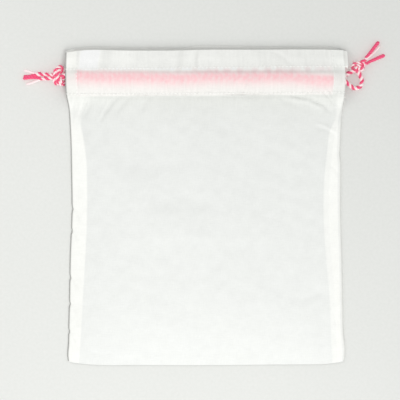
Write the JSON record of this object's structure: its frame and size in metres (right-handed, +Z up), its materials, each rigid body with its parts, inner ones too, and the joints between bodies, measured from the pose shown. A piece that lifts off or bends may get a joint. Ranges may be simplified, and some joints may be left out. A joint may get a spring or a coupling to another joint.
{
  "type": "drawstring knitting bag",
  "caption": "Flat white cotton drawstring bag with a hemmed mouth channel, open side slits and two twisted pink-and-white cords, one knotted at each side.",
  "frame": {"origin": "under the centre of the bag, on the surface it lies on; the cord ends outside the bag are not counted", "axes": "+Z up out of the front panel, +Y towards the mouth, +X to the right seen from above"},
  "size_m": [0.2907, 0.2601, 0.0141],
  "materials": {
    "white_cotton": "thin plain-weave cotton, one layer, slightly see-through",
    "white_cotton_layered": "thin plain-weave cotton, two or three layers sewn together",
    "sewing_thread": "white spun thread",
    "twisted_cord": "one pink and one white soft strand twisted together"
  },
  "bodies": {
    "bag": {"back_casing": "white_cotton_layered", "back_hem_facing": "white_cotton_layered", "back_lower_stitches": "sewing_thread", "back_panel": "white_cotton", "back_upper_stitches": "sewing_thread", "bottom_fold": "white_cotton", "front_casing": "white_cotton_layered", "front_hem_facing": "white_cotton_layered", "front_lower_stitches": "sewing_thread", "front_panel": "white_cotton", "front_upper_stitches": "sewing_thread", "left_allowance_back": "white_cotton_layered", "left_allowance_front": "white_cotton_layered", "left_overlock_thread": "sewing_thread", "left_side_seam": "white_cotton_layered", "left_slit_bartack": "sewing_thread", "right_allowance_back": "white_cotton_layered", "right_allowance_front": "white_cotton_layered", "right_overlock_thread": "sewing_thread", "right_side_seam": "white_cotton_layered", "right_slit_bartack": "sewing_thread"},
    "mouth_left": {"left_slit_back_hem": "white_cotton_layered", "left_slit_back_stitches": "sewing_thread", "left_slit_front_hem": "white_cotton_layered", "left_slit_front_stitches": "sewing_thread"},
    "mouth_right": {"right_slit_back_hem": "white_cotton_layered", "right_slit_back_stitches": "sewing_thread", "right_slit_front_hem": "white_cotton_layered", "right_slit_front_stitches": "sewing_thread"},
    "left_drawcord": {"left_drawcord_exit_back": "twisted_cord", "left_drawcord_exit_front": "twisted_cord", "left_drawcord_knot": "twisted_cord", "left_drawcord_loop": "twisted_cord", "left_drawcord_tail_lower": "twisted_cord", "left_drawcord_tail_upper": "twisted_cord"},
    "right_drawcord": {"right_drawcord_exit_back": "twisted_cord", "right_drawcord_exit_front": "twisted_cord", "right_drawcord_knot": "twisted_cord", "right_drawcord_loop": "twisted_cord", "right_drawcord_tail_lower": "twisted_cord", "right_drawcord_tail_upper": "twisted_cord"}
  },
  "joints": [
    {"name": "left_draw", "type": "slide", "parent": "bag", "child": "left_drawcord", "axis": [-1, 0, 0], "range_m": [0, 0.075], "deforming": ["front_casing", "back_casing", "front_hem_facing", "back_hem_facing", "front_upper_stitches", "front_lower_stitches", "back_upper_stitches", "back_lower_stitches"]},
    {"name": "right_draw", "type": "slide", "parent": "bag", "child": "right_drawcord", "axis": [1, 0, 0], "range_m": [0, 0.075], "deforming": ["front_casing", "back_casing", "front_hem_facing", "back_hem_facing", "front_upper_stitches", "front_lower_stitches", "back_upper_stitches", "back_lower_stitches"]},
    {"name": "mouth_left_in", "type": "slide", "parent": "bag", "child": "mouth_left", "axis": [1, 0, 0], "range_m": [0, 0.075], "deforming": ["front_casing", "back_casing", "front_hem_facing", "back_hem_facing", "front_upper_stitches", "front_lower_stitches", "back_upper_stitches", "back_lower_stitches"]},
    {"name": "mouth_right_in", "type": "slide", "parent": "bag", "child": "mouth_right", "axis": [-1, 0, 0], "range_m": [0, 0.075], "deforming": ["front_casing", "back_casing", "front_hem_facing", "back_hem_facing", "front_upper_stitches", "front_lower_stitches", "back_upper_stitches", "back_lower_stitches"]}
  ],
  "couplings": [
    {"joint": "right_draw", "follows": "left_draw", "ratio": 1},
    {"joint": "mouth_left_in", "follows": "left_draw", "ratio": 1},
    {"joint": "mouth_right_in", "follows": "left_draw", "ratio": 1}
  ]
}
